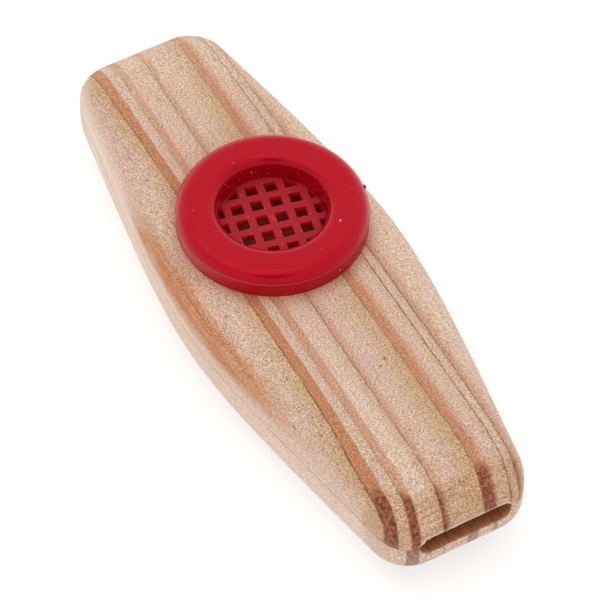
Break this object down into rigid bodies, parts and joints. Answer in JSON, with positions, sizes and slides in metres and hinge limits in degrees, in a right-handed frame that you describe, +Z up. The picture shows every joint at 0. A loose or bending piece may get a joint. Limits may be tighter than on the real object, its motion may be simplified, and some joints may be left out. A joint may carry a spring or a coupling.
{
  "type": "kazoo",
  "caption": "Flat boat-shaped wooden kazoo with a through air slot and a round push-in plastic cap with a square grille over a membrane.",
  "frame": {"origin": "on the underside of the wooden body, in the middle of its length and width", "axes": "+X along the body towards the mouth end, +Y across the body, +Z up through the cap"},
  "size_m": [0.1234, 0.0444, 0.0276],
  "materials": {
    "pine_upper": "sanded bare pine, fine growth lines along the body",
    "pine_lower": "sanded bare pine, fine growth lines along the body",
    "red_cap": "gloss, injection moulded",
    "film": "thin waxed paper, slightly see-through",
    "card": "plain card"
  },
  "bodies": {
    "body": {"upper_body": "pine_upper", "lower_body": "pine_lower"},
    "cap": {"cap": "red_cap"},
    "membrane": {"membrane": "film", "card_ring": "card"}
  },
  "joints": [
    {"name": "cap_pull", "type": "slide", "parent": "body", "child": "cap", "axis": [0, 0, 1], "range_m": [0, 0.016]},
    {"name": "membrane_lift", "type": "slide", "parent": "body", "child": "membrane", "axis": [0, 0, 1], "range_m": [0, 0.008]}
  ],
  "couplings": [
    {"joint": "membrane_lift", "follows": "cap_pull", "ratio": 0.5}
  ]
}
